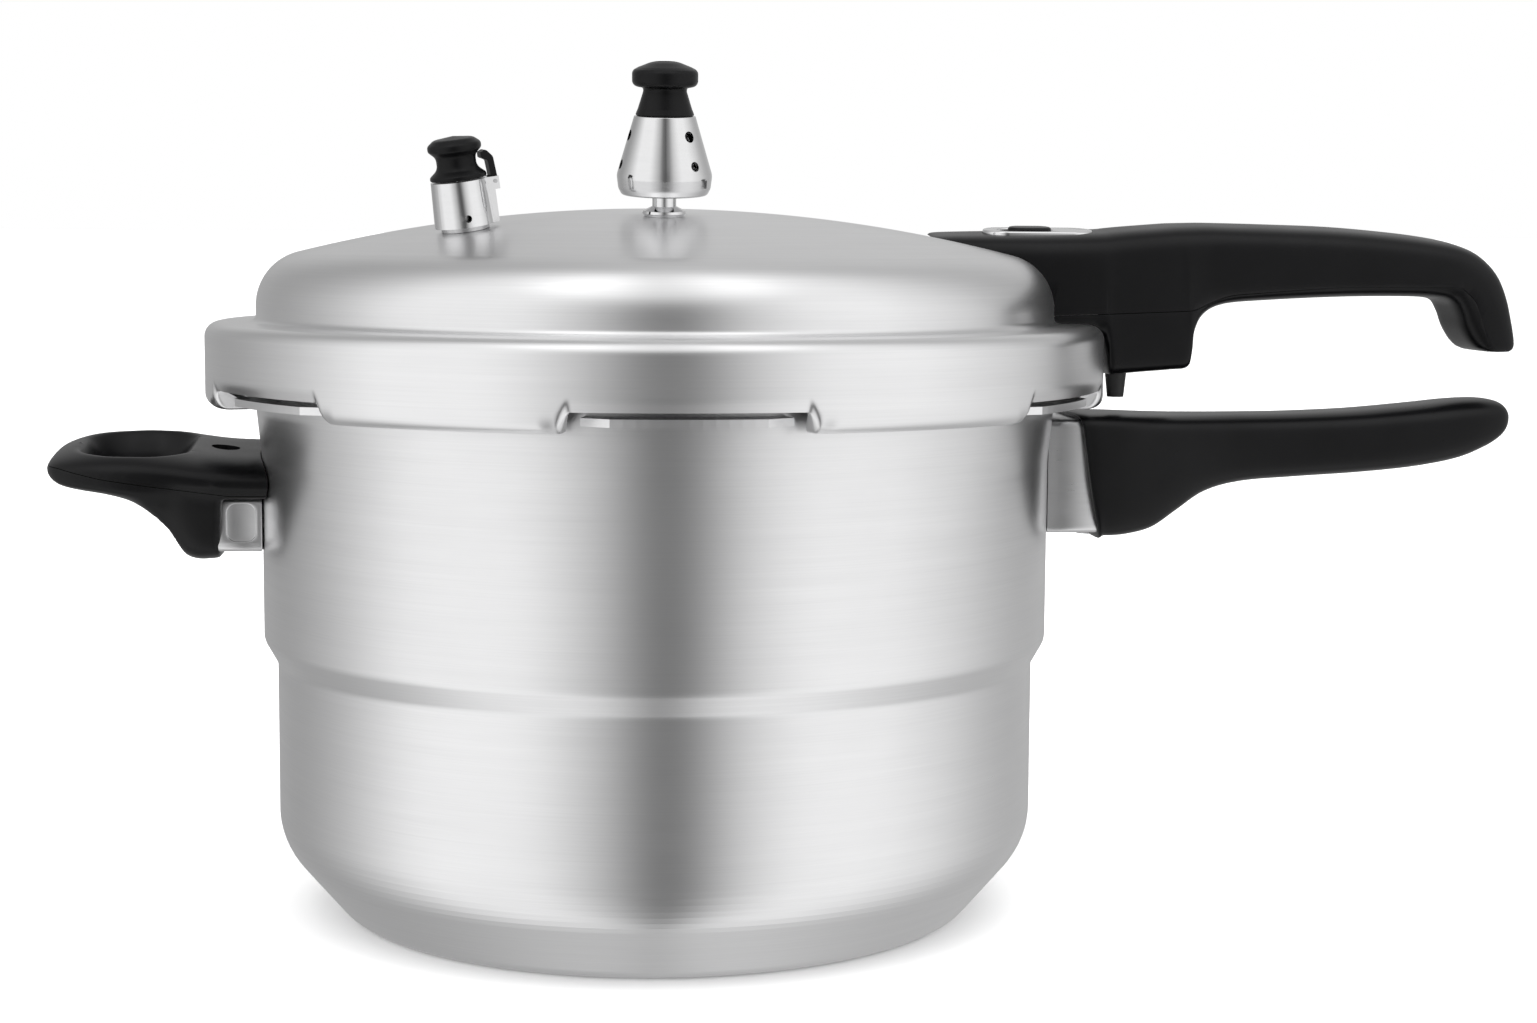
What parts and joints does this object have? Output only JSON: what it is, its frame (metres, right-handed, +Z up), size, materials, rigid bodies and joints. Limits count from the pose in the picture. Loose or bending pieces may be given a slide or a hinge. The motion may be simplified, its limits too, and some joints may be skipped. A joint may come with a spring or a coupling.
{
  "type": "stovetop pressure cooker",
  "caption": "Stovetop pressure cooker with a stepped metal pot, bayonet lid, weighted regulator, relief valve, two long black handles and a helper handle.",
  "frame": {"origin": "centre of the pot's flat underside", "axes": "+Z up, +X along the two long handles, helper handle towards -X, both valves on the -Y half of the lid"},
  "size_m": [0.4711, 0.285, 0.2677],
  "materials": {
    "brushed_aluminium": "fine circular brushing, satin",
    "satin_metal": "satin pressed sheet",
    "polished_steel": "turned and polished",
    "steel_fittings": "plain steel",
    "black_phenolic": "satin moulded phenolic",
    "dark_silicone": "matt silicone",
    "black_rubber": "matt rubber"
  },
  "bodies": {
    "pot": {"pot_body": "brushed_aluminium", "pot_handle_bracket": "satin_metal", "pot_bracket_rivets": "steel_fittings", "pot_handle": "black_phenolic", "pot_handle_screw": "steel_fittings", "helper_bracket": "satin_metal", "helper_bracket_rivets": "steel_fittings", "helper_handle": "black_phenolic", "helper_handle_screw": "steel_fittings"},
    "gasket": {"sealing_ring": "dark_silicone"},
    "lid": {"lid_shell": "brushed_aluminium", "lid_handle_bracket": "satin_metal", "lid_bracket_rivets": "steel_fittings", "lid_handle_upper": "black_phenolic", "lid_handle_lower": "black_phenolic", "lid_handle_screws": "steel_fittings", "handle_foot": "black_rubber", "handle_escutcheon": "polished_steel", "lock_leaf": "steel_fittings", "float_bush": "steel_fittings", "vent_pipe": "polished_steel", "vent_nut": "steel_fittings", "vent_filter": "steel_fittings", "relief_seat": "steel_fittings", "relief_seal": "dark_silicone", "relief_nut": "steel_fittings", "relief_sleeve": "polished_steel", "relief_strap": "polished_steel", "relief_spring": "steel_fittings", "relief_clip_pin": "steel_fittings"},
    "lock": {"lock_button": "black_phenolic", "lock_bar": "steel_fittings"},
    "float": {"float_pin": "steel_fittings", "float_seal": "dark_silicone"},
    "needle": {"regulator_needle": "steel_fittings"},
    "regulator": {"regulator_weight": "polished_steel", "regulator_knob": "black_phenolic", "regulator_screw": "steel_fittings"},
    "relief": {"relief_stem": "steel_fittings", "relief_cap": "black_phenolic"},
    "clip": {"relief_clip": "black_phenolic"}
  },
  "joints": [
    {"name": "lid_lift", "type": "slide", "parent": "pot", "child": "gasket", "axis": [0, 0, 1], "range_m": [0, 0.12]},
    {"name": "lid_turn", "type": "hinge", "parent": "gasket", "child": "lid", "pos_m": [0, 0, 0.17], "axis": [0, 0, 1], "range_deg": [-30, 0]},
    {"name": "lock_slide", "type": "slide", "parent": "lid", "child": "lock", "axis": [-1, 0, 0], "range_m": [0, 0.003]},
    {"name": "float_lift", "type": "slide", "parent": "lid", "child": "float", "axis": [0, 0, 1], "range_m": [0, 0.003]},
    {"name": "regulator_lift", "type": "slide", "parent": "lid", "child": "needle", "axis": [-0.0024, -0.1041, 0.9946], "range_m": [0, 0.03]},
    {"name": "regulator_spin", "type": "hinge", "parent": "needle", "child": "regulator", "pos_m": [-0.00109, -0.04799, 0.22159], "axis": [-0.0024, -0.1041, 0.9946], "continuous": true},
    {"name": "relief_lift", "type": "slide", "parent": "lid", "child": "relief", "axis": [-0.1316, -0.1132, 0.9848], "range_m": [0, 0.0022], "stiffness_N_per_m": 1500, "springref_m": -0.003},
    {"name": "relief_clip_swing", "type": "hinge", "parent": "lid", "child": "clip", "pos_m": [-0.05264, -0.05126, 0.23189], "axis": [-0.2521, 0.9646, 0.0772], "range_deg": [0, 25]}
  ]
}
